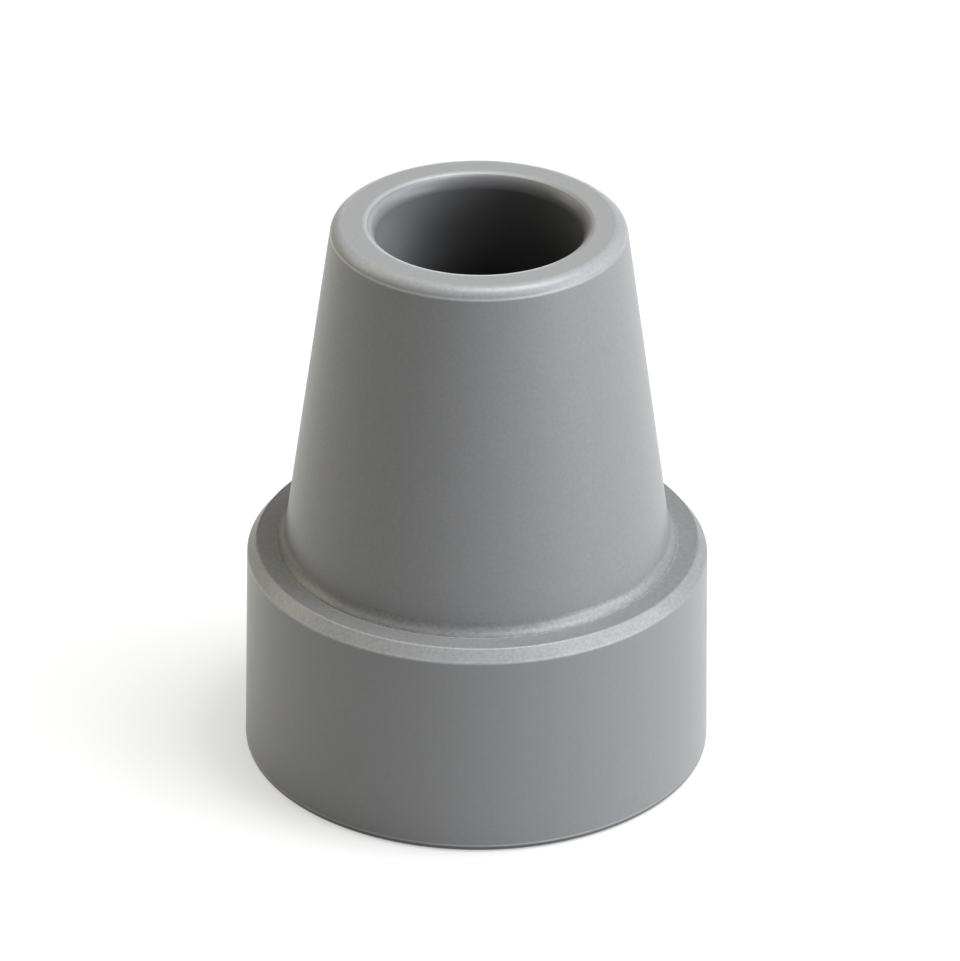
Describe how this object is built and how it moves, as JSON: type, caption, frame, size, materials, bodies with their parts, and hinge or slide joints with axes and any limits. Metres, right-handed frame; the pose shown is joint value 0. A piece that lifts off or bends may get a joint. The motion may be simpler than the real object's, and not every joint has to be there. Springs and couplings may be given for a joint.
{
  "type": "rubber cane tip",
  "caption": "One-piece rubber tip for a walking cane: a tapered sleeve with a blind shaft socket on a wide chamfered base with a ring tread.",
  "frame": {"origin": "centre of the underside, on the floor plane", "axes": "+Z along the socket's axis, up towards the rim; round about Z, so X and Y are free"},
  "size_m": [0.0435, 0.0436, 0.0537],
  "materials": {
    "rubber": "matte moulded"
  },
  "bodies": {
    "root": {"cane_tip": "rubber"}
  },
  "joints": []
}
